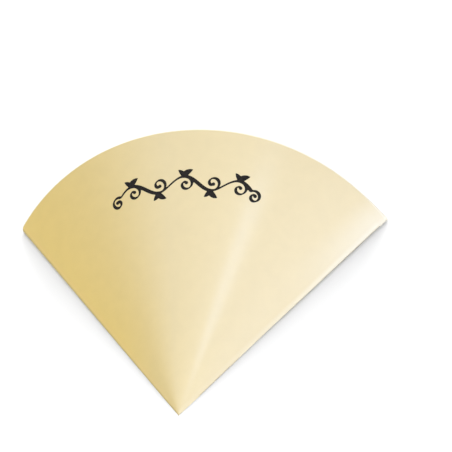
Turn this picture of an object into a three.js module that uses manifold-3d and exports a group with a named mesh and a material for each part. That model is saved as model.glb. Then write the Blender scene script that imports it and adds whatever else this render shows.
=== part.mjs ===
// Takeaway crepe holder: a pocket folded from one sheet of cream paperboard.
//
// The blank is two quarter-disc-like sectors side by side, joined on a fold line, with a
// narrow glue flap along the free side of the front sector. Folded in half and glued, it
// is a flat-backed cone that comes to a point at the bottom and is open along its curved
// rim. The back sector is cut a little narrower than the front one, so that the front
// stays bowed and the mouth stands open for a folded crepe.
//
// Frame: millimetres, +Z up. The holder lies on its back panel, whose outer face is the
// plane z = 0. +Y runs from the tip to the mouth and X is across. The origin is under the
// middle of the bounding box.

import * as THREE from "three";
import { mergeVertices } from "three/addons/utils/BufferGeometryUtils.js";
import Module from "manifold-3d";

// Driving dimensions
const SLANT = 180; // tip to rim, measured along the board, on both panels
const BOARD = 0.4; // paperboard thickness
const FRONT_SPAN = 92; // degrees of sector in the front panel, fold line to fold line
const BOW = 55.35; // degrees, half-angle of the round cone that the bowed front follows
const FOLD_RADIUS = 0.85; // outside radius of both side folds at the rim, tapering to the tip
const FLAP_WIDTH = 14; // glue flap, on the inside of the back panel
const FLAP_TIP_GAP = 16; // where the flap starts, from the tip
const FLAP_RIM_GAP = 5; // where the flap ends, from the rim
const FLAP_SLOPE = 12; // how far each end of the flap is cut back across its width
const SEAM_INSET = 0.3; // degrees, the back panel's glued edge, in from the fold

// Facet counts
const FRONT_STEPS = 44;
const FOLD_STEPS = 6;
const BACK_STEPS = 30;

const rad = THREE.MathUtils.degToRad;
const V = (x, y, z) => new THREE.Vector3(x, y, z);

// Shape of the section, as directions from the tip.
const beta = rad(BOW);
const halfTurn = rad(FRONT_SPAN / 2) / Math.sin(beta); // turn about the bow's axis
const lean = Math.atan(Math.tan(beta) * Math.cos(halfTurn)); // axis below the back panel
const bowAxis = V(0, Math.cos(lean), -Math.sin(lean));
const bowUp = V(0, Math.sin(lean), Math.cos(lean));

function bowed(turn) {
  return bowAxis
    .clone()
    .multiplyScalar(Math.cos(beta))
    .addScaledVector(bowUp, Math.sin(beta) * Math.cos(turn))
    .addScaledVector(V(1, 0, 0), Math.sin(beta) * Math.sin(turn));
}

// The right-hand fold: an arc that leaves the back panel's plane at `back` and meets the
// bowed front at `front`, with the same radius all the way round.
function rightFold() {
  const r = FOLD_RADIUS / SLANT;
  const y =
    (Math.cos(beta - r) + Math.sin(r) * Math.sin(lean)) / Math.cos(lean);
  const z = Math.sin(r);
  const centre = V(Math.sqrt(1 - y * y - z * z), y, z);
  const back = V(centre.x, centre.y, 0).normalize();
  const out = centre
    .clone()
    .addScaledVector(bowAxis, -centre.dot(bowAxis))
    .normalize();
  const front = bowAxis
    .clone()
    .multiplyScalar(Math.cos(beta))
    .addScaledVector(out, Math.sin(beta));
  const w1 = back.clone().addScaledVector(centre, -back.dot(centre)).normalize();
  const w2 = centre.clone().cross(w1);
  if (w2.x < 0) w2.negate();
  const wf = front
    .clone()
    .addScaledVector(centre, -front.dot(centre))
    .normalize();
  const turn = Math.atan2(wf.dot(w2), wf.dot(w1));
  const arc = [];
  for (let i = 0; i <= FOLD_STEPS; i++) {
    const a = (turn * i) / FOLD_STEPS;
    arc.push(
      centre
        .clone()
        .multiplyScalar(Math.cos(r))
        .addScaledVector(w1, Math.sin(r) * Math.cos(a))
        .addScaledVector(w2, Math.sin(r) * Math.sin(a)),
    );
  }
  return { arc, back, front };
}

const mirror = (v) => V(-v.x, v.y, v.z);
const fold = rightFold();
const foldTurn = Math.atan2(
  fold.front.x / Math.sin(beta),
  fold.front.dot(bowUp) / Math.sin(beta),
);
const backHalf = Math.atan2(fold.back.x, fold.back.y);

// Outer directions, round the section: right fold, front from right to left, left fold,
// back from left to right.
const ring = [...fold.arc];
for (let i = 1; i < FRONT_STEPS; i++)
  ring.push(bowed(foldTurn - (2 * foldTurn * i) / FRONT_STEPS));
for (let i = FOLD_STEPS; i >= 0; i--) ring.push(mirror(fold.arc[i]));
for (let i = 1; i < BACK_STEPS; i++) {
  const a = -backHalf + (2 * backHalf * i) / BACK_STEPS;
  ring.push(V(Math.sin(a), Math.cos(a), 0));
}
const count = ring.length;

// Inward normal of each flat strip of board, from ring[i] to ring[i + 1].
const middle = V(0, Math.cos(rad(8)), Math.sin(rad(8)));
const inward = ring.map((u, i) => {
  const n = u.clone().cross(ring[(i + 1) % count]).normalize();
  return n.dot(middle) < 0 ? n.negate() : n;
});

const wasm = await Module();
wasm.setup();

function solid(geometry) {
  const g = geometry.index ? geometry.clone() : geometry;
  g.deleteAttribute("normal");
  g.deleteAttribute("uv");
  const merged = mergeVertices(g, 1e-5);
  return new wasm.Manifold(
    new wasm.Mesh({
      numProp: 3,
      vertProperties: new Float32Array(merged.attributes.position.array),
      triVerts: new Uint32Array(merged.index.array),
    }),
  );
}

// The full outer form: a cone from the tip to the rim. Its end face turns in square to
// the board at the rim, then closes across the mouth.
function outerForm() {
  const p = [];
  const rim = ring.map((u) => u.clone().multiplyScalar(SLANT));
  const lip = rim.map((v, i) => {
    const a = inward[(i + count - 1) % count];
    const b = inward[i];
    return v
      .clone()
      .addScaledVector(a.clone().add(b), (2 * BOARD) / (1 + a.dot(b)));
  });
  const tip = V(0, 0, 0);
  const mouth = middle.clone().multiplyScalar(SLANT);
  const tri = (a, b, c) => p.push(...a.toArray(), ...b.toArray(), ...c.toArray());
  for (let i = 0; i < count; i++) {
    const j = (i + 1) % count;
    tri(tip, rim[i], rim[j]);
    tri(rim[i], lip[j], rim[j]);
    tri(rim[i], lip[i], lip[j]);
    tri(lip[i], mouth, lip[j]);
  }
  return new THREE.BufferGeometry().setAttribute(
    "position",
    new THREE.Float32BufferAttribute(p, 3),
  );
}

// The space inside: everything that is a board's thickness in from every strip.
function innerSpace() {
  const block = new THREE.BoxGeometry(400, 260, 120);
  block.translate(0, 128, 50);
  let space = solid(block);
  const seen = [];
  for (const n of inward) {
    if (seen.some((m) => m.dot(n) > 1 - 1e-9)) continue;
    seen.push(n);
    const cut = new THREE.BoxGeometry(900, 900, 300);
    cut.translate(0, 0, -150);
    cut.applyQuaternion(
      new THREE.Quaternion().setFromUnitVectors(V(0, 0, 1), n),
    );
    cut.translate(n.x * BOARD, n.y * BOARD, n.z * BOARD);
    space = space.subtract(solid(cut));
  }
  return space;
}

// A flat piece over the back panel, from an outline given along and across the right
// fold: `along` from the tip, `across` in from the fold.
function onBack(outline, z0, z1) {
  const e = V(Math.sin(backHalf), Math.cos(backHalf), 0);
  const q = V(-Math.cos(backHalf), Math.sin(backHalf), 0);
  const shape = new THREE.Shape(
    outline.map(
      ([along, across]) =>
        new THREE.Vector2(
          e.x * along + q.x * across,
          e.y * along + q.y * across,
        ),
    ),
  );
  const g = new THREE.ExtrudeGeometry(shape, {
    depth: z1 - z0,
    bevelEnabled: false,
  });
  g.translate(0, 0, z0);
  return g;
}

// The glue flap is a second layer of board on the inside of the back panel.
const flap = solid(
  onBack(
    [
      [FLAP_TIP_GAP, -6],
      [SLANT - FLAP_RIM_GAP, -6],
      [SLANT - FLAP_RIM_GAP, 0],
      [SLANT - FLAP_RIM_GAP - FLAP_SLOPE, FLAP_WIDTH],
      [FLAP_TIP_GAP + FLAP_SLOPE, FLAP_WIDTH],
      [FLAP_TIP_GAP, 0],
    ],
    BOARD / 2,
    2 * BOARD,
  ),
);

// Outside, the back panel stops just short of the fold, so that the flap shows there one
// board's thickness further in.
const seamRun = SLANT - FLAP_RIM_GAP - 1;
const seam = solid(
  onBack(
    [
      [FLAP_TIP_GAP + 1, -9],
      [seamRun, -9],
      [seamRun, seamRun * Math.sin(rad(SEAM_INSET))],
      [FLAP_TIP_GAP + 1, (FLAP_TIP_GAP + 1) * Math.sin(rad(SEAM_INSET))],
    ],
    -1,
    BOARD,
  ),
);

const body = solid(outerForm())
  .subtract(innerSpace().subtract(flap))
  .subtract(seam);

const made = body.getMesh();
const positions = new Float32Array(made.numVert * 3);
for (let i = 0; i < made.numVert; i++)
  for (let k = 0; k < 3; k++)
    positions[3 * i + k] = made.vertProperties[i * made.numProp + k];
const geometry = new THREE.BufferGeometry();
geometry.setAttribute("position", new THREE.BufferAttribute(positions, 3));
geometry.setIndex(new THREE.BufferAttribute(new Uint32Array(made.triVerts), 1));
geometry.computeVertexNormals();

const board = new THREE.MeshStandardMaterial({
  color: 0xefdfb9,
  roughness: 0.55,
  metalness: 0,
});

const holder = new THREE.Mesh(geometry, board);
holder.name = "folded_board_pocket";
holder.position.set(0, -SLANT / 2, 0);

const group = new THREE.Group();
group.name = "crepe_holder";
group.add(holder);

export default group;
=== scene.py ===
"""Looks for the crepe holder: one sheet of coated cream paperboard, folded into a pocket.

The board is built as a real thin sheet (0.4 mm) round the same cone and flat back as the
CAD part: printed satin side out, bare side in, white cut edges. Millimetres are used
while shaping, metres in the meshes.
"""

import math

import bpy
import numpy as np
from mathutils import Matrix, Vector
from mathutils.geometry import delaunay_2d_cdt


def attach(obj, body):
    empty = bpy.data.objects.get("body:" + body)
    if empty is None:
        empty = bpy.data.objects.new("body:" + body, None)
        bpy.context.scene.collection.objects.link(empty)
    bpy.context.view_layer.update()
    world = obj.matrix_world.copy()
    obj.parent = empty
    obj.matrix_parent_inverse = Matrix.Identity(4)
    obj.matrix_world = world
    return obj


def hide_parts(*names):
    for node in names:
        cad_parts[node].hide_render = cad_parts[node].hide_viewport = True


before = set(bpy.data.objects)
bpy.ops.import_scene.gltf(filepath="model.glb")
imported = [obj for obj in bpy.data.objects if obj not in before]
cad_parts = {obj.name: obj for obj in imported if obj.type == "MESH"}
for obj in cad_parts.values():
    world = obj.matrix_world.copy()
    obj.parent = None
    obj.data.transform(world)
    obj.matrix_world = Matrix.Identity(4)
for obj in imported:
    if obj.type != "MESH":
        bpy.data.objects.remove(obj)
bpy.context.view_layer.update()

# ------------------------------------------------------------------ dimensions (mm)
SLANT = 180.0
BOARD = 0.4
FRONT_SPAN = 92.0
BOW = 55.35
FOLD_RADIUS = 0.85
FLAP_WIDTH = 14.0
FLAP_TIP_GAP = 16.0
FLAP_RIM_GAP = 5.0
FLAP_SLOPE = 12.0
SEAM_INSET = 0.3
LEFT_CORNER = 3.4  # radius on the two panels' corners where the left fold meets the rim
RIGHT_CORNER = 0.5
RIGHT_EAR = 1.3  # the blank's rim runs out this far at the glued corner
TIP = np.array([0.0, -SLANT / 2, 0.0])

BETA = math.radians(BOW)
HALF_TURN = math.radians(FRONT_SPAN / 2) / math.sin(BETA)
LEAN = math.atan(math.tan(BETA) * math.cos(HALF_TURN))
AXIS = np.array([0.0, math.cos(LEAN), -math.sin(LEAN)])
UP = np.array([0.0, math.sin(LEAN), math.cos(LEAN)])
EX = np.array([1.0, 0.0, 0.0])
EZ = np.array([0.0, 0.0, 1.0])

FRONT_N, BACK_N, FOLD_N = 150, 60, 14


def unit(v):
    return v / np.linalg.norm(v, axis=-1, keepdims=True)


def dot(a, b):
    return (a * b).sum(-1, keepdims=True)


def smooth(x, lo, hi):
    t = np.clip((np.asarray(x, float) - lo) / (hi - lo), 0, 1)
    return t * t * (3 - 2 * t)


# ------------------------------------------------------------------ the board's surfaces
def on_cone(r, tau, psi):
    """Points at depth tau under the bowed face, at distance r from the tip."""
    b = BETA - np.arcsin(tau / r)
    return r[:, None] * (
        np.cos(b)[:, None] * AXIS
        + np.sin(b)[:, None] * (np.cos(psi)[:, None] * UP + np.sin(psi)[:, None] * EX)
    )


def fold_arc(side, r, tau, land, share):
    """Points round one side fold at depth tau; share runs from 0 at the back panel to 1 at the
    front one, and land is the height of the plane that the fold comes down to."""
    d = FOLD_RADIUS * r / SLANT
    rad = np.maximum(d - tau, 0.07)
    deep = tau + rad
    length = np.sqrt(np.maximum(r * r - rad * rad, 1e-9))
    b = BETA - np.arcsin(np.minimum(deep / length, 0.99))
    c = ((land + deep) / length + np.cos(b) * math.sin(LEAN)) / (
        np.sin(b) * math.cos(LEAN)
    )
    psi = np.arccos(np.clip(c, -1, 1))
    e = np.cos(psi)[:, None] * UP + side * np.sin(psi)[:, None] * EX
    ray = np.cos(b)[:, None] * AXIS + np.sin(b)[:, None] * e
    centre = ray * length[:, None]
    w1 = unit(-EZ - dot(-EZ * np.ones_like(ray), ray) * ray)
    n = -math.sin(BETA) * AXIS + math.cos(BETA) * e
    w2 = unit(n - dot(n, ray) * ray)
    wp = np.cross(ray, w1)
    wp = wp * np.sign(wp[:, :1] * side)
    turn = np.arctan2(dot(w2, wp), dot(w2, w1))
    a = turn * share[:, None]
    w = np.cos(a) * w1 + np.sin(a) * wp
    return centre + rad[:, None] * w


def flat_angle(p):
    return np.arctan2(p[:, 0], p[:, 1])


def turn_angle(p):
    return np.arctan2(p @ EX, p @ UP)


# One loop of the section, in order: the raw edge of the back panel, the back panel from
# right to left, the left fold, the front from left to right, the right fold, and the flap's
# outer face where it shows beside the raw edge.
ZONE = np.array(
    [0] * BACK_N + [1] * (FOLD_N + 1) + [2] * (FRONT_N - 1) + [3] * (FOLD_N + 1) + [4]
)
N = len(ZONE)
share_l = np.linspace(0, 1, FOLD_N + 1)
share_r = share_l[::-1]
# Denser near the folds, so that a corner can be rounded.
f = np.linspace(-1, 1, FRONT_N + 1)[1:-1]
front_f = 0.75 * f + 0.25 * np.sin(f * math.pi / 2)
g = np.linspace(0, 1, BACK_N)
back_f = 0.5 - 0.5 * (0.7 * (1 - 2 * g) + 0.3 * np.sin((1 - 2 * g) * math.pi / 2))


def loop(r, tau, step):
    """r: distance from the tip for each of the N points; step: height of the seam's step."""
    p = np.zeros((N, 3))
    zl, zr = ZONE == 1, ZONE == 3
    p[zl] = fold_arc(-1, r[zl], tau, 0.0, share_l)
    p[zr] = fold_arc(1, r[zr], tau, step, share_r)
    rb, rf = r[ZONE == 0], r[ZONE == 2]
    left0 = flat_angle(fold_arc(-1, rb, tau, 0.0, 0 * rb))
    right0 = flat_angle(fold_arc(1, rb, tau, 0.0, 0 * rb)) - math.radians(SEAM_INSET)
    a = right0 + (left0 - right0) * back_f * (1 - 1.0 / (2 * BACK_N))
    flat = np.sqrt(np.maximum(rb * rb - tau * tau, 1e-9))
    p[ZONE == 0] = np.stack([flat * np.sin(a), flat * np.cos(a), np.full(len(rb), tau)], 1)
    lo = turn_angle(fold_arc(-1, rf, tau, 0.0, np.ones(len(rf))))
    hi = turn_angle(fold_arc(1, rf, tau, step, np.ones(len(rf))))
    p[ZONE == 2] = on_cone(rf, tau, lo + (hi - lo) * (front_f + 1) / 2)
    rs = r[-1:]
    a = (
        flat_angle(fold_arc(1, rs, tau, 0.0, 0 * rs))
        - math.radians(SEAM_INSET)
        + 0.02 / rs
    )
    p[-1] = [rs[0] * math.sin(a[0]), rs[0] * math.cos(a[0]), tau + step]
    return p


# How far each point is from a fold's outermost line, at the rim, for rounding the corners.
full = loop(np.full(N, SLANT), 0.0, 0.0)


def rim_distance(side):
    seg = np.linalg.norm(np.diff(full, axis=0, append=full[:1]), axis=1)
    s = np.concatenate([[0], np.cumsum(seg)[:-1]])
    k = int(np.argmax(full[:, 0] * side))
    total = seg.sum()
    d = np.abs(s - s[k])
    return np.minimum(d, total - d)


def corner_drop(side, radius):
    d = rim_distance(side)
    x = np.clip(radius - d, 0, radius)
    return radius - np.sqrt(np.maximum(radius**2 - x * x, 0))


DROP = corner_drop(-1, LEFT_CORNER) + corner_drop(1, RIGHT_CORNER)
DROP -= RIGHT_EAR * np.clip(1 - rim_distance(1) / 30.0, 0, 1) ** 2


def radii(r, back=0.0):
    """The whole loop at distance r from the tip, pulled in at the rounded corners."""
    w = smooth(r, SLANT - 9, SLANT)
    return np.full(N, r - back) - DROP * w


def seam_step(r):
    return float(
        BOARD
        * smooth(r, FLAP_TIP_GAP + 0.9, FLAP_TIP_GAP + 1.4)
        * (1 - smooth(r, SLANT - FLAP_RIM_GAP - 1.5, SLANT - FLAP_RIM_GAP - 1.0))
    )


def sheet_rings():
    outer_r = [0.7, 1.4, 2.2, 3.2, 4.5, 6, 8, 10.5, 13.5, 16, 16.9, 17.15, 17.4, 18, 20]
    outer_r += list(np.linspace(23, 171, 50))
    outer_r += [173, 173.5, 173.75, 174, 175, 176, 177, 178, 178.8, 179.4]
    # The pocket begins where the two inner faces part.
    r = 1.0
    while True:
        rad = max(FOLD_RADIUS * r / SLANT - BOARD, 0.07)
        deep = BOARD + rad
        length = math.sqrt(r * r - rad * rad)
        b = BETA - math.asin(min(deep / length, 0.99))
        c = (deep / length + math.cos(b) * math.sin(LEAN)) / (
            math.sin(b) * math.cos(LEAN)
        )
        if c < math.cos(math.radians(6)):
            break
        r += 0.05
    inner_r = [r, r + 0.25, r + 0.7, r + 1.4, r + 2.4, r + 4, r + 6, r + 9, r + 13]
    inner_r += list(np.linspace(r + 17, 176, 48)) + [178, 179.3]
    rings, kind = [], []
    for x in outer_r:
        rings.append(loop(radii(x), 0.0, seam_step(x)))
        kind.append(("out", x))
    for x, back, tau in (
        (SLANT, 0.1, 0.0),
        (SLANT, 0.03, 0.03),
        (SLANT, 0.0, 0.1),
        (SLANT, 0.0, BOARD - 0.1),
        (SLANT, 0.03, BOARD - 0.03),
        (SLANT, 0.1, BOARD),
    ):
        rings.append(loop(radii(x, back), tau, 0.0))
        kind.append(("rim", tau))
    for x in inner_r[::-1]:
        rings.append(loop(radii(x), BOARD, 0.0))
        kind.append(("in", x))
    return rings, kind


def make_object(name, verts, faces, materials, face_material=None):
    me = bpy.data.meshes.new(name)
    me.from_pydata(
        [tuple(v) for v in np.asarray(verts) / 1000.0], [], [tuple(f) for f in faces]
    )
    for m in materials:
        me.materials.append(m)
    if face_material is not None:
        me.polygons.foreach_set("material_index", np.asarray(face_material, np.int32))
    me.polygons.foreach_set("use_smooth", np.ones(len(me.polygons), bool))
    me.validate()
    me.update()
    ob = bpy.data.objects.new(name, me)
    bpy.context.scene.collection.objects.link(ob)
    return ob


def add_attribute(ob, name, values):
    at = ob.data.attributes.new(name, "FLOAT", "POINT")
    at.data.foreach_set("value", np.asarray(values, np.float32))


# ------------------------------------------------------------------ node helpers
def new_material(name):
    m = bpy.data.materials.new(name)
    m.use_nodes = True
    nt = m.node_tree
    nt.nodes.clear()
    out = nt.nodes.new("ShaderNodeOutputMaterial")
    bsdf = nt.nodes.new("ShaderNodeBsdfPrincipled")
    nt.links.new(bsdf.outputs[0], out.inputs[0])
    return m, nt, bsdf


def node(nt, kind, **settings):
    n = nt.nodes.new(kind)
    for k, v in settings.items():
        if k == "inputs":
            for name, value in v.items():
                n.inputs[name].default_value = value
        else:
            setattr(n, k, v)
    return n


def link(nt, a, b):
    nt.links.new(a, b)


def math_node(nt, op, a, b=None, clamp=False):
    n = nt.nodes.new("ShaderNodeMath")
    n.operation = op
    n.use_clamp = clamp
    for i, v in enumerate((a, b)):
        if v is None:
            continue
        if isinstance(v, (int, float)):
            n.inputs[i].default_value = v
        else:
            nt.links.new(v, n.inputs[i])
    return n.outputs[0]


def map_range(nt, value, a, b, c, d, kind="SMOOTHSTEP"):
    n = nt.nodes.new("ShaderNodeMapRange")
    n.interpolation_type = kind
    nt.links.new(value, n.inputs["Value"])
    for name, v in (("From Min", a), ("From Max", b), ("To Min", c), ("To Max", d)):
        n.inputs[name].default_value = v
    return n.outputs["Result"]


def mix_color(nt, fac, a, b, blend="MIX"):
    n = nt.nodes.new("ShaderNodeMix")
    n.data_type = "RGBA"
    n.blend_type = blend
    for sock, v in ((n.inputs[0], fac), (n.inputs[6], a), (n.inputs[7], b)):
        if isinstance(v, bpy.types.NodeSocket):
            nt.links.new(v, sock)
        else:
            sock.default_value = v
    return n.outputs[2]


def attribute(nt, name):
    n = nt.nodes.new("ShaderNodeAttribute")
    n.attribute_name = name
    return n.outputs["Fac"]


def noise(nt, vector, scale, detail=4.0, rough=0.55, distort=0.0):
    n = nt.nodes.new("ShaderNodeTexNoise")
    n.inputs["Scale"].default_value = scale
    n.inputs["Detail"].default_value = detail
    n.inputs["Roughness"].default_value = rough
    n.inputs["Distortion"].default_value = distort
    nt.links.new(vector, n.inputs["Vector"])
    return n.outputs["Fac"]


def bump(nt, height, strength, distance, normal=None):
    n = nt.nodes.new("ShaderNodeBump")
    n.inputs["Strength"].default_value = strength
    n.inputs["Distance"].default_value = distance
    nt.links.new(height, n.inputs["Height"])
    if normal is not None:
        nt.links.new(normal, n.inputs["Normal"])
    return n.outputs["Normal"]


def stretched(nt, scale, rotation=(0, 0, 0)):
    tc = nt.nodes.new("ShaderNodeTexCoord")
    mp = nt.nodes.new("ShaderNodeMapping")
    mp.inputs["Scale"].default_value = scale
    mp.inputs["Rotation"].default_value = rotation
    nt.links.new(tc.outputs["Object"], mp.inputs["Vector"])
    return mp.outputs["Vector"]


# ------------------------------------------------------------------ materials
GOLD = (0.878, 0.654, 0.198, 1)
MIDDLE = (0.735, 0.60, 0.305, 1)
CREAM = (0.738, 0.603, 0.314, 1)


def printed_side():
    """Satin-coated face. The colour runs from golden at the left side to cream at the right: partly the
    board's tint and partly painted shade, since the left side turns away from the light.
    """
    m, nt, b = new_material("board_printed_face")
    across = attribute(nt, "across")
    fold = attribute(nt, "fold")
    rim = attribute(nt, "rim_mm")
    even = stretched(nt, (1, 1, 1))
    # golden on the left, cream on the right: partly tint, partly painted shade on the side turned from the
    # light
    warm = map_range(nt, across, -0.92, -0.12, 0, 1, "LINEAR")
    pale = map_range(nt, across, 0.0, 0.8, 0, 1, "LINEAR")
    base = mix_color(nt, warm, GOLD, MIDDLE)
    base = mix_color(nt, pale, base, CREAM)
    tip = map_range(nt, rim, 110.0, 176.0, 0.0, 0.6)
    base = mix_color(nt, tip, base, (0.80, 0.65, 0.32, 1))
    # Cloudiness of the pulp under the coating, and a few faint fibres.
    cloud = noise(nt, even, 130, 3, 0.5)
    tone = map_range(nt, cloud, 0.3, 0.7, 0.985, 1.015, "LINEAR")
    base = mix_color(nt, 1.0, base, tone, "MULTIPLY")
    fibre = noise(nt, stretched(nt, (900, 2600, 900), (0, 0, 0.5)), 1.0, 2, 0.5)
    fleck = map_range(nt, fibre, 0.68, 0.78, 0, 0.06)
    base = mix_color(nt, fleck, base, (0.62, 0.52, 0.30, 1))
    # Paler at the folds and along the cut rim, as in the photo.
    # the pale crest is partly cracked coating and partly a painted highlight where the fold catches the
    # light
    crest_mottle = noise(nt, even, 1500, 3, 0.6)
    crest = math_node(nt, "MULTIPLY", fold, map_range(nt, crest_mottle, 0.3, 0.6, 0.6, 1.0))
    # painted shade darker at the left fold, whose face turns away from the light, and a painted highlight
    # paler along the glued one: matched to the photo
    # painted shade: the left fold's face, turned from the light, made darker
    painted_fold_shade = map_range(nt, attribute(nt, "left_mm"), 0.1, 1.3, 0.8, 0.0)
    base = mix_color(nt, painted_fold_shade, base, (0.60, 0.45, 0.15, 1))
    # a painted highlight along the right-hand fold, where the crease catches the light
    painted_fold_highlight = map_range(nt, attribute(nt, "right_mm"), 0.8, 3.6, 0.6, 0.0)
    painted_fold_highlight = math_node(nt, "MULTIPLY", painted_fold_highlight, map_range(nt, rim, 20.0, 165.0, 1.0, 0.1))
    base = mix_color(nt, painted_fold_highlight, base, (0.90, 0.84, 0.66, 1))
    # paler towards the right-hand corner: a painted reflection, matched to the photo in the same way
    corner = math_node(
        nt,
        "MULTIPLY",
        map_range(nt, attribute(nt, "right_mm"), 0.0, 24.0, 0.7, 0.0),
        map_range(nt, rim, 0.0, 90.0, 1.0, 0.0),
    )
    base = mix_color(nt, corner, base, (0.86, 0.80, 0.66, 1))
    # painted highlight: the crest whitening grows towards the right-hand side, which faces the light
    side = map_range(nt, across, -0.5, 0.6, 0.0, 0.8)
    base = mix_color(nt, math_node(nt, "MULTIPLY", crest, side), base, (0.93, 0.9, 0.8, 1))
    # a painted highlight along the cut rim, where the edge catches the light
    lip = map_range(nt, rim, 0.25, 0.75, 0.55, 0.0)
    base = mix_color(nt, lip, base, (0.93, 0.88, 0.74, 1))
    link(nt, base, b.inputs["Base Color"])
    rough = map_range(nt, noise(nt, even, 420, 4, 0.6), 0.3, 0.7, 0.44, 0.52, "LINEAR")
    rough = math_node(nt, "ADD", rough, math_node(nt, "MULTIPLY", crest, 0.12))
    link(nt, rough, b.inputs["Roughness"])
    b.inputs["Specular IOR Level"].default_value = 1.0
    b.inputs["Coat Weight"].default_value = 1.0
    b.inputs["Coat Roughness"].default_value = 0.19
    b.inputs["Coat IOR"].default_value = 1.75
    grain = noise(nt, stretched(nt, (2400, 3600, 2400), (0, 0, 0.3)), 1.0, 3, 0.55)
    n1 = bump(nt, grain, 0.10, 0.00008)
    wave = noise(nt, even, 55, 2, 0.4)
    n2 = bump(nt, wave, 0.05, 0.0012, n1)
    link(nt, n2, b.inputs["Normal"])
    return m


def bare_side():
    """Uncoated inside: paler, matt, with visible fibres."""
    m, nt, b = new_material("board_bare_face")
    even = stretched(nt, (1, 1, 1))
    cloud = noise(nt, even, 160, 4, 0.6)
    base = mix_color(
        nt,
        map_range(nt, cloud, 0.3, 0.7, 0, 1, "LINEAR"),
        (0.63, 0.56, 0.41, 1),
        (0.69, 0.62, 0.47, 1),
    )
    fibre = noise(nt, stretched(nt, (700, 3000, 700), (0, 0, 0.8)), 1.0, 3, 0.6)
    base = mix_color(
        nt, map_range(nt, fibre, 0.62, 0.75, 0, 0.35), base, (0.52, 0.44, 0.30, 1)
    )
    link(nt, base, b.inputs["Base Color"])
    b.inputs["Roughness"].default_value = 0.88
    b.inputs["Specular IOR Level"].default_value = 0.3
    grain = noise(nt, stretched(nt, (1500, 4200, 1500), (0, 0, 0.8)), 1.0, 4, 0.6)
    link(nt, bump(nt, grain, 0.35, 0.00012), b.inputs["Normal"])
    return m


def cut_edge():
    """The board's core where it was die cut: white plies, slightly torn."""
    m, nt, b = new_material("board_cut_edge")
    even = stretched(nt, (1, 1, 1))
    ply = noise(nt, even, 4200, 3, 0.6)
    base = mix_color(
        nt,
        map_range(nt, ply, 0.35, 0.7, 0, 1),
        (0.90, 0.87, 0.78, 1),
        (0.78, 0.71, 0.55, 1),
    )
    link(nt, base, b.inputs["Base Color"])
    b.inputs["Roughness"].default_value = 0.9
    b.inputs["Specular IOR Level"].default_value = 0.25
    link(nt, bump(nt, ply, 0.4, 0.00008), b.inputs["Normal"])
    return m


def ink():
    """Near-black offset ink: a little glossier than the coating, thin at places."""
    m, nt, b = new_material("print_ink")
    even = stretched(nt, (1, 1, 1))
    thin = noise(nt, even, 900, 4, 0.6)
    base = mix_color(
        nt,
        map_range(nt, thin, 0.35, 0.75, 0, 1),
        (0.012, 0.010, 0.010, 1),
        (0.030, 0.026, 0.024, 1),
    )
    link(nt, base, b.inputs["Base Color"])
    rough = map_range(nt, noise(nt, even, 600, 3, 0.5), 0.3, 0.7, 0.5, 0.62, "LINEAR")
    link(nt, rough, b.inputs["Roughness"])
    b.inputs["Specular IOR Level"].default_value = 0.12
    grain = noise(nt, stretched(nt, (2400, 3600, 2400), (0, 0, 0.3)), 1.0, 3, 0.55)
    link(nt, bump(nt, grain, 0.10, 0.00008), b.inputs["Normal"])
    return m


PRINTED, BARE, EDGE, INK = printed_side(), bare_side(), cut_edge(), ink()


# ------------------------------------------------------------------ the folded sheet
def build_sheet():
    rings, kind = sheet_rings()
    verts = [np.zeros(3)]  # the tip
    for ring in rings:
        verts.extend(ring)
    n_rings = len(rings)
    faces, mats = [], []

    def v(k, j):
        return 1 + k * N + j % N

    for j in range(N):
        faces.append((0, v(0, j), v(0, j + 1)))
        mats.append(0)
    for k in range(n_rings - 1):
        a, b = kind[k], kind[k + 1]
        if a[0] == "out" and b[0] == "out" or a[0] == "out":
            mat = 0
        elif b[0] == "in":
            mat = 1
        else:
            mat = 0 if b[1] <= 0.03 else (1 if a[1] >= BOARD - 0.03 else 2)
        for j in range(N):
            m = mat
            # the raw edge that shows at the seam
            if mat == 0 and j == N - 1 and a[0] == "out" and 17 < a[1] < 174:
                m = 2
            faces.append((v(k, j), v(k + 1, j), v(k + 1, j + 1), v(k, j + 1)))
            mats.append(m)
    # The pocket's blind end.
    last = n_rings - 1
    verts.append(np.mean(rings[-1], axis=0) * 0.985)
    for j in range(N):
        faces.append((v(last, j), len(verts) - 1, v(last, j + 1)))
        mats.append(1)
    verts = np.array(verts)
    r = np.linalg.norm(verts, axis=1)

    # across: -1 at the left fold to 1 at the right one, the same on both panels
    psi = np.zeros(N)
    psi[ZONE == 2] = front_f
    psi[ZONE == 1] = -1
    psi[ZONE == 3] = 1
    psi[ZONE == 0] = 1 - 2 * back_f
    psi[ZONE == 4] = 1
    across = np.concatenate([[0], np.tile(psi, n_rings), [0]])
    # fold: 1 on the crest of each fold, fading out onto the panels
    fold = np.zeros(N)
    fold[ZONE == 1] = np.exp(-(((share_l - 0.62) / 0.3) ** 2))
    fold[ZONE == 3] = np.exp(-(((share_r - 0.62) / 0.3) ** 2))
    fold = np.concatenate([[0], np.tile(fold, n_rings), [0]])
    rim = SLANT - r
    verts = verts + TIP
    ob = make_object(
        "folded_board", verts, faces, [PRINTED, BARE, EDGE], np.array(mats)
    )
    add_attribute(ob, "across", across)
    add_attribute(ob, "fold", fold)
    add_attribute(ob, "rim_mm", np.maximum(rim, 0))
    add_attribute(ob, "right_mm", (1 - across) * math.radians(FRONT_SPAN / 2) * r)
    add_attribute(ob, "left_mm", (1 + across) * math.radians(FRONT_SPAN / 2) * r)
    return ob


def fix_normals(ob):
    import bmesh

    bm = bmesh.new()
    bm.from_mesh(ob.data)
    bmesh.ops.remove_doubles(bm, verts=bm.verts, dist=1e-8)
    bmesh.ops.recalc_face_normals(bm, faces=bm.faces)
    bm.to_mesh(ob.data)
    bm.free()


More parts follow.
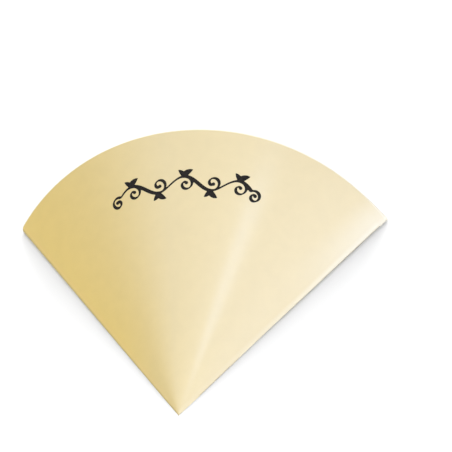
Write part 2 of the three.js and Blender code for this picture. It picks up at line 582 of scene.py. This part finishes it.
def sharpen(ob, degrees):
    """Edges that turn more than this are shaded as edges."""
    import bmesh

    bm = bmesh.new()
    bm.from_mesh(ob.data)
    for e in bm.edges:
        if len(e.link_faces) == 2:
            e.smooth = e.calc_face_angle(0) < math.radians(degrees)
    bm.to_mesh(ob.data)
    bm.free()


sheet = build_sheet()
fix_normals(sheet)
sharpen(sheet, 50)
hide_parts("folded_board_pocket")
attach(sheet, "root")


# ------------------------------------------------------------------ the glue flap
def build_flap():
    """The flap lies on the back panel's inside: a second layer with slanted, cut ends."""
    ref = fold_arc(1, np.array([150.0]), 0.0, 0.0, np.array([0.0]))[0]
    half = math.atan2(ref[0], ref[1])
    e = np.array([math.sin(half), math.cos(half)])
    q = np.array([-math.cos(half), math.sin(half)])
    along_n, across_n = 90, 10
    a = np.linspace(0, 1, along_n + 1)
    a = 0.5 - 0.5 * np.cos(a * math.pi) * 0.3 - 0.5 * (1 - 2 * a) * 0.7
    c = np.linspace(0, 1, across_n + 1)
    bevel = 0.06
    top, low = [], []
    lo, hi = BOARD - 0.02, 2 * BOARD
    layers = [
        (lo, 0.0),
        (hi - bevel, 0.0),
        (hi - 0.015, 0.015),
        (hi, bevel),
    ]
    verts, index = [], {}
    for li, (z, pull) in enumerate(layers):
        for i, s in enumerate(a):
            for j, w in enumerate(c):
                # the fold side reaches into the fold, narrower where the fold is tighter
                x = w * (FLAP_WIDTH - pull)
                start = FLAP_TIP_GAP + FLAP_SLOPE * x / FLAP_WIDTH + pull
                end = SLANT - FLAP_RIM_GAP - FLAP_SLOPE * x / FLAP_WIDTH - pull
                y = start + (end - start) * s
                grip = 0.9 + 0.9 * y / SLANT  # how far in from the fold line it starts
                x = grip + (FLAP_WIDTH - pull - grip) * w
                # a cut edge is never perfectly straight
                wob = 0.05 * math.sin(y * 0.21) * math.sin(y * 0.083 + 1) * w
                p = e * y + q * (x + wob)
                index[li, i, j] = len(verts)
                verts.append([p[0], p[1], z])
    faces, mats = [], []
    nl = len(layers) - 1
    for i in range(along_n):
        for j in range(across_n):
            faces.append([index[nl, *t] for t in ((i, j), (i + 1, j), (i + 1, j + 1), (i, j + 1))])
            mats.append(0)
            faces.append([index[0, *t] for t in ((i, j), (i, j + 1), (i + 1, j + 1), (i + 1, j))])
            mats.append(0)
    rimline = (
        [(i, 0) for i in range(along_n)]
        + [(along_n, j) for j in range(across_n)]
        + [(i, across_n) for i in range(along_n, 0, -1)]
        + [(0, j) for j in range(across_n, 0, -1)]
    )
    for li in range(nl):
        for k in range(len(rimline)):
            p, s = rimline[k], rimline[(k + 1) % len(rimline)]
            faces.append([index[li, *p], index[li, *s], index[li + 1, *s], index[li + 1, *p]])
            mats.append(1 if li == 0 else 0)
    ob = make_object(
        "glue_flap", np.array(verts) + TIP, faces, [BARE, EDGE], np.array(mats)
    )
    return ob


flap = build_flap()
fix_normals(flap)
sharpen(flap, 35)
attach(flap, "root")


# ------------------------------------------------------------------ the printed ornament
# An arched garland in place of the print: a waving stem with a leaf pair in each bend and
# a curl at each end. Shaped in millimetres along (u) and across (v) an arc of the panel.
BAND_R = 144.0
BAND_MID = math.radians(-1.0)


def pen(points, thick, thin, nib=math.radians(38)):
    """Discs along a stroke, broad or narrow by direction, as a flat nib draws it."""
    p = np.asarray(points, float)
    seg = np.linalg.norm(np.diff(p, axis=0), axis=1)
    s = np.concatenate([[0], np.cumsum(seg)])
    n = max(int(s[-1] / 0.12), 2)
    t = np.linspace(0, s[-1], n)
    x, y = np.interp(t, s, p[:, 0]), np.interp(t, s, p[:, 1])
    d = np.arctan2(np.gradient(y), np.gradient(x))
    w = thin + (thick - thin) * np.abs(np.sin(d - nib)) ** 1.3
    ends = np.minimum(t, s[-1] - t) / 1.6
    w = w * np.clip(0.35 + ends, 0, 1)
    return np.stack([x, y, w / 2], 1)


def leaf(base, angle, length, width, bend=0.25):
    """Discs that fill a pointed leaf."""
    t = np.linspace(0, 1, 60)
    w = width / 2 * np.sin(math.pi * t**0.8) ** 0.9
    a = angle + bend * (t - 0.3)
    step = length / 59
    x = base[0] + np.concatenate([[0], np.cumsum(np.cos(a[:-1]) * step)])
    y = base[1] + np.concatenate([[0], np.cumsum(np.sin(a[:-1]) * step)])
    return np.stack([x, y, np.maximum(w, 0.12)], 1)


def curl(centre, r0, start, turns, shrink):
    t = np.linspace(0, 1, 160)
    a = start + turns * 2 * math.pi * t
    r = r0 * (1 - t) ** shrink + 0.9 * t
    return np.stack([centre[0] + r * np.cos(a), centre[1] + r * np.sin(a)], 1)


def garland():
    strokes = []
    bays, pitch, amp = 5, 17.2, 4.4
    span = bays * pitch / 2
    u = np.linspace(-span, span, 500)
    v = amp * np.sin(math.pi * (u + span) / pitch)
    strokes.append(pen(np.stack([u, v], 1), 2.5, 1.1))
    for k in range(bays):
        mid = -span + (k + 0.5) * pitch
        up = 1 if k % 2 == 0 else -1
        # a pair of leaves on the crest of the bend
        root = (mid - 1.2, up * amp * 0.93)
        strokes.append(leaf(root, up * math.radians(44), 8.2, 3.7, -0.7 * up))
        root = (mid + 0.2, up * amp * 0.98)
        strokes.append(leaf(root, up * math.radians(124), 6.2, 2.9, 0.5 * up))
        # a tendril that curls inside it
        arc = curl((mid + 1.0, -up * 0.6), 5.0, up * math.radians(115), -up * 1.15, 0.9)
        strokes.append(pen(arc, 2.0, 0.9))
        strokes.append(np.array([[arc[-1, 0], arc[-1, 1], 1.15]]))
    for side in (-1, 1):
        start = math.radians(90 + side * 42)
        arc = curl((side * (span + 2.5), -3.0), 4.2, start, -side * 1.2, 0.9)
        strokes.append(pen(arc, 2.1, 1.0))
        strokes.append(np.array([[arc[-1, 0], arc[-1, 1], 1.2]]))
    return np.concatenate(strokes)


def field(discs, h=0.2):
    """Signed distance-like field of the union of discs on a grid: negative inside."""
    lo = discs[:, :2].min(0) - 2.5
    hi = discs[:, :2].max(0) + 2.5
    nx, ny = (np.ceil((hi - lo) / h)).astype(int) + 1
    f = np.full((nx, ny), 2.0)
    xs, ys = lo[0] + np.arange(nx) * h, lo[1] + np.arange(ny) * h
    for x, y, r in discs:
        reach = r + 1.0
        i0, i1 = np.searchsorted(xs, [x - reach, x + reach])
        j0, j1 = np.searchsorted(ys, [y - reach, y + reach])
        sub = np.hypot(xs[i0:i1, None] - x, ys[None, j0:j1] - y) - r
        f[i0:i1, j0:j1] = np.minimum(f[i0:i1, j0:j1], sub)
    return f, xs, ys


def outlines(f, xs, ys):
    """Closed outlines of the field's zero level, by marching squares."""
    nx, ny = f.shape
    f = np.where(np.abs(f) < 1e-6, 1e-6, f)
    inside = f < 0
    links = {}

    def cross(i, j, di, dj):
        a, b = f[i, j], f[i + di, j + dj]
        t = a / (a - b)
        return (xs[i] + (xs[min(i + di, nx - 1)] - xs[i]) * t, ys[j] + (ys[min(j + dj, ny - 1)] - ys[j]) * t)

    cells = inside[:-1, :-1].astype(int) + inside[1:, :-1] * 2 + inside[1:, 1:] * 4 + inside[:-1, 1:] * 8
    # an edge is named by its cell corner and direction: 'h' along x, 'v' along y
    table = {
        1: [("L", "B")], 2: [("B", "R")], 3: [("L", "R")], 4: [("R", "T")],
        5: [("L", "B"), ("R", "T")], 6: [("B", "T")], 7: [("L", "T")], 8: [("T", "L")],
        9: [("T", "B")], 10: [("B", "R"), ("T", "L")], 11: [("T", "R")], 12: [("R", "L")],
        13: [("R", "B")], 14: [("B", "L")],
    }
    spots = {}
    for i, j in zip(*np.nonzero((cells > 0) & (cells < 15))):
        names = {
            "B": ("h", i, j), "T": ("h", i, j + 1), "L": ("v", i, j), "R": ("v", i + 1, j),
        }
        for a, b in table[int(cells[i, j])]:
            ka, kb = names[a], names[b]
            for key in (ka, kb):
                if key not in spots:
                    spots[key] = cross(key[1], key[2], *((1, 0) if key[0] == "h" else (0, 1)))
            links.setdefault(ka, []).append(kb)
            links.setdefault(kb, []).append(ka)
    loops, used = [], set()
    for start in list(links):
        if start in used:
            continue
        path, prev, cur = [start], None, start
        used.add(start)
        while True:
            nxt = [k for k in links[cur] if k != prev]
            if not nxt:
                break
            n = nxt[0]
            if n == start:
                break
            if n in used:
                break
            used.add(n)
            path.append(n)
            prev, cur = cur, n
        pts = np.array([spots[k] for k in path])
        if len(pts) > 6:
            loops.append(pts)
    return loops


def tidy(pts, step=0.42):
    """Smooths a closed outline a little and spaces its points evenly."""
    p = pts.copy()
    for _ in range(3):
        p = 0.5 * p + 0.25 * (np.roll(p, 1, 0) + np.roll(p, -1, 0))
    q = np.vstack([p, p[:1]])
    s = np.concatenate([[0], np.cumsum(np.linalg.norm(np.diff(q, axis=0), axis=1))])
    n = max(int(s[-1] / step), 8)
    t = np.linspace(0, s[-1], n, endpoint=False)
    return np.stack([np.interp(t, s, q[:, 0]), np.interp(t, s, q[:, 1])], 1)


def on_panel(uv, lift):
    """(u, v) of the band to a point on the bowed front, lifted off it by lift."""
    uv = np.asarray(uv, float)
    psi = (BAND_MID + uv[:, 0] / BAND_R) / math.sin(BETA)
    r = BAND_R + uv[:, 1]
    e = np.cos(psi)[:, None] * UP + np.sin(psi)[:, None] * EX
    ray = math.cos(BETA) * AXIS + math.sin(BETA) * e
    n = -math.sin(BETA) * AXIS + math.cos(BETA) * e
    return ray * r[:, None] + n * lift


def build_ornament():
    discs = garland()
    f, xs, ys = field(discs)
    loops = [tidy(p) for p in outlines(f, xs, ys)]
    pts, edges = [], []
    for lp in loops:
        k = len(pts)
        pts.extend(Vector(p) for p in lp)
        edges.extend((k + i, k + (i + 1) % len(lp)) for i in range(len(lp)))
    vs, es, fs, ov, oe, of = delaunay_2d_cdt(pts, edges, [], 0, 1e-5)
    uv = np.array([tuple(v) for v in vs])
    hard = {frozenset(e) for e, o in zip(es, oe) if o}

    # Faces on the inside of the outlines, by counting crossings from outside.
    by_edge = {}
    for k, t in enumerate(fs):
        for a, b in zip(t, t[1:] + t[:1]):
            by_edge.setdefault(frozenset((a, b)), []).append(k)
    state = [None] * len(fs)
    stack = []
    for e, ks in by_edge.items():
        if len(ks) == 1 and state[ks[0]] is None:
            state[ks[0]] = e in hard
            stack.append(ks[0])
    while stack:
        k = stack.pop()
        t = fs[k]
        for a, b in zip(t, t[1:] + t[:1]):
            e = frozenset((a, b))
            for o in by_edge[e]:
                if state[o] is None:
                    state[o] = state[k] ^ (e in hard)
                    stack.append(o)
    tris = [tuple(t) for t, s in zip(fs, state) if s]
    used = sorted({i for t in tris for i in t})
    new = {o: k for k, o in enumerate(used)}
    uv = uv[used]
    tris = [tuple(new[i] for i in t) for t in tris]
    n = len(uv)
    verts = np.concatenate([on_panel(uv, 0.022), on_panel(uv, -0.03)])
    faces = [t for t in tris] + [tuple(i + n for i in reversed(t)) for t in tris]
    count = {}
    for t in tris:
        for a, b in zip(t, t[1:] + t[:1]):
            count[(a, b)] = count.get((a, b), 0) + 1
    for a, b in count:
        if (b, a) not in count:
            faces.append((b, a, a + n, b + n))
    return make_object("print_garland", verts + TIP, faces, [INK])


ornament = build_ornament()
fix_normals(ornament)
sharpen(ornament, 40)
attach(ornament, "root")


# ------------------------------------------------------------------ floor, light, camera
def build_floor():
    m, nt, b = new_material("studio_floor")
    grain = noise(nt, stretched(nt, (1, 1, 1)), 18, 3, 0.5)
    c = mix_color(
        nt,
        map_range(nt, grain, 0.3, 0.7, 0, 1, "LINEAR"),
        (0.75, 0.75, 0.75, 1),
        (0.765, 0.765, 0.765, 1),
    )
    link(nt, c, b.inputs["Base Color"])
    b.inputs["Roughness"].default_value = 0.8
    b.inputs["Specular IOR Level"].default_value = 0.1
    ob = make_object(
        "studio_floor",
        [(-6000, -6000, 0), (6000, -6000, 0), (6000, 6000, 0), (-6000, 6000, 0)],
        [(0, 1, 2, 3)],
        [m],
    )
    ob.data.polygons.foreach_set("use_smooth", np.zeros(1, bool))
    return ob


build_floor()

scene = bpy.context.scene
world = bpy.data.worlds.new("studio")
scene.world = world
world.use_nodes = True
wt = world.node_tree
wt.nodes.clear()
w_out = wt.nodes.new("ShaderNodeOutputWorld")
w_bg = wt.nodes.new("ShaderNodeBackground")
wt.links.new(w_bg.outputs[0], w_out.inputs[0])
# A dim surround with a long overhead diffuser, which starts left of the zenith, grows
# brighter to the right and is what the satin coating mirrors.
w_tc = wt.nodes.new("ShaderNodeTexCoord")
w_sep = wt.nodes.new("ShaderNodeSeparateXYZ")
wt.links.new(w_tc.outputs["Generated"], w_sep.inputs[0])
w_x, w_y, w_z = w_sep.outputs
bend = map_range(wt, w_x, 0.0, 0.85, 0.0, 0.30, "LINEAR")
off = math_node(wt, "ABSOLUTE", math_node(wt, "ADD", math_node(wt, "ADD", w_y, 0.04), bend))
over = map_range(wt, off, 0.16, 0.34, 1.0, 0.0)
level = map_range(wt, w_x, -0.80, -0.30, 0.0, 1.2)
level = math_node(wt, "ADD", level, map_range(wt, w_x, -0.3, 0.3, 0.0, 0.95))
level = math_node(wt, "ADD", level, map_range(wt, w_x, 0.25, 0.8, 0.0, 1.15))
level = math_node(wt, "MULTIPLY", level, over)
level = math_node(wt, "MULTIPLY", level, map_range(wt, w_z, 0.15, 0.45, 0.0, 1.0))
level = math_node(wt, "ADD", level, 0.16)
glow = map_range(wt, w_z, 0.0, 0.2, 0.7, 0.0)  # a pale horizon
level = math_node(wt, "ADD", level, glow)
wt.links.new(level, w_bg.inputs["Strength"])
w_bg.inputs["Color"].default_value = (1, 1, 1, 1)


def area(name, direction, distance, size, power, target=(0, 0.01, 0.02), along=None, color=(1, 1, 1)):
    light = bpy.data.lights.new(name, "AREA")
    light.shape = "RECTANGLE"
    light.size, light.size_y = size
    light.energy = power
    light.color = color
    ob = bpy.data.objects.new(name, light)
    scene.collection.objects.link(ob)
    d = Vector(direction).normalized()
    ob.location = Vector(target) + d * distance
    if along is None:
        ob.rotation_euler = (-d).to_track_quat("-Z", "Y").to_euler()
    else:  # the long side follows this direction
        y = Vector(along)
        y = (y - d * y.dot(d)).normalized()
        x = y.cross(d)
        ob.rotation_euler = Matrix((x, y, d)).transposed().to_euler()
    ob.visible_camera = False
    return ob


# The strip whose reflection runs up the front as a pale streak.
area(
    "strip",
    (0.250, -0.10, 0.963),
    2.4,
    (0.25, 0.62),
    1.45,
    along=(0.26, 1, 0),
    color=(0.42, 0.62, 1.0),
)
# A key from behind, for the soft shadow under the two lower edges.
# Three broad suns side by side make one wide source that lights the floor evenly.
for name, side in (("key_left", -1), ("key_middle", 0), ("key_right", 1)):
    sun = bpy.data.lights.new(name, "SUN")
    sun.energy = 1.93
    sun.angle = math.radians(14)
    sun_ob = bpy.data.objects.new(name, sun)
    scene.collection.objects.link(sun_ob)
    turn = math.radians(17 * side)
    ray = Vector((math.sin(turn) * 0.917, math.cos(turn) * 0.917, 0.40))
    sun_ob.rotation_euler = (-ray).to_track_quat("-Z", "Y").to_euler()
area("fill", (-0.66, -0.78, 0.42), 3.0, (1.3, 1.3), 34.0)

cam_data = bpy.data.cameras.new("camera")
cam = bpy.data.objects.new("camera", cam_data)
scene.collection.objects.link(cam)
right = Vector((0.98546, 0.07301, -0.15342)).normalized()
up = Vector((0.02405, 0.83395, 0.55131))
back = right.cross(up).normalized()
up = back.cross(right).normalized()
place = Vector(TIP / 1000) + Vector((0.71244, -1.25361, 2.98016)) * (SLANT / 1000)
cam.matrix_world = Matrix.Translation(place) @ Matrix(
    ((right.x, up.x, back.x), (right.y, up.y, back.y), (right.z, up.z, back.z))
).to_4x4()
cam_data.sensor_fit = "HORIZONTAL"
cam_data.sensor_width = 36.0
cam_data.lens = 1003.8 * 36.0 / 452.0
cam_data.clip_start, cam_data.clip_end = 0.01, 50
scene.camera = cam

scene.view_settings.view_transform = "Standard"
scene.view_settings.look = "None"
scene.view_settings.exposure = -0.07
scene.view_settings.gamma = 1.0
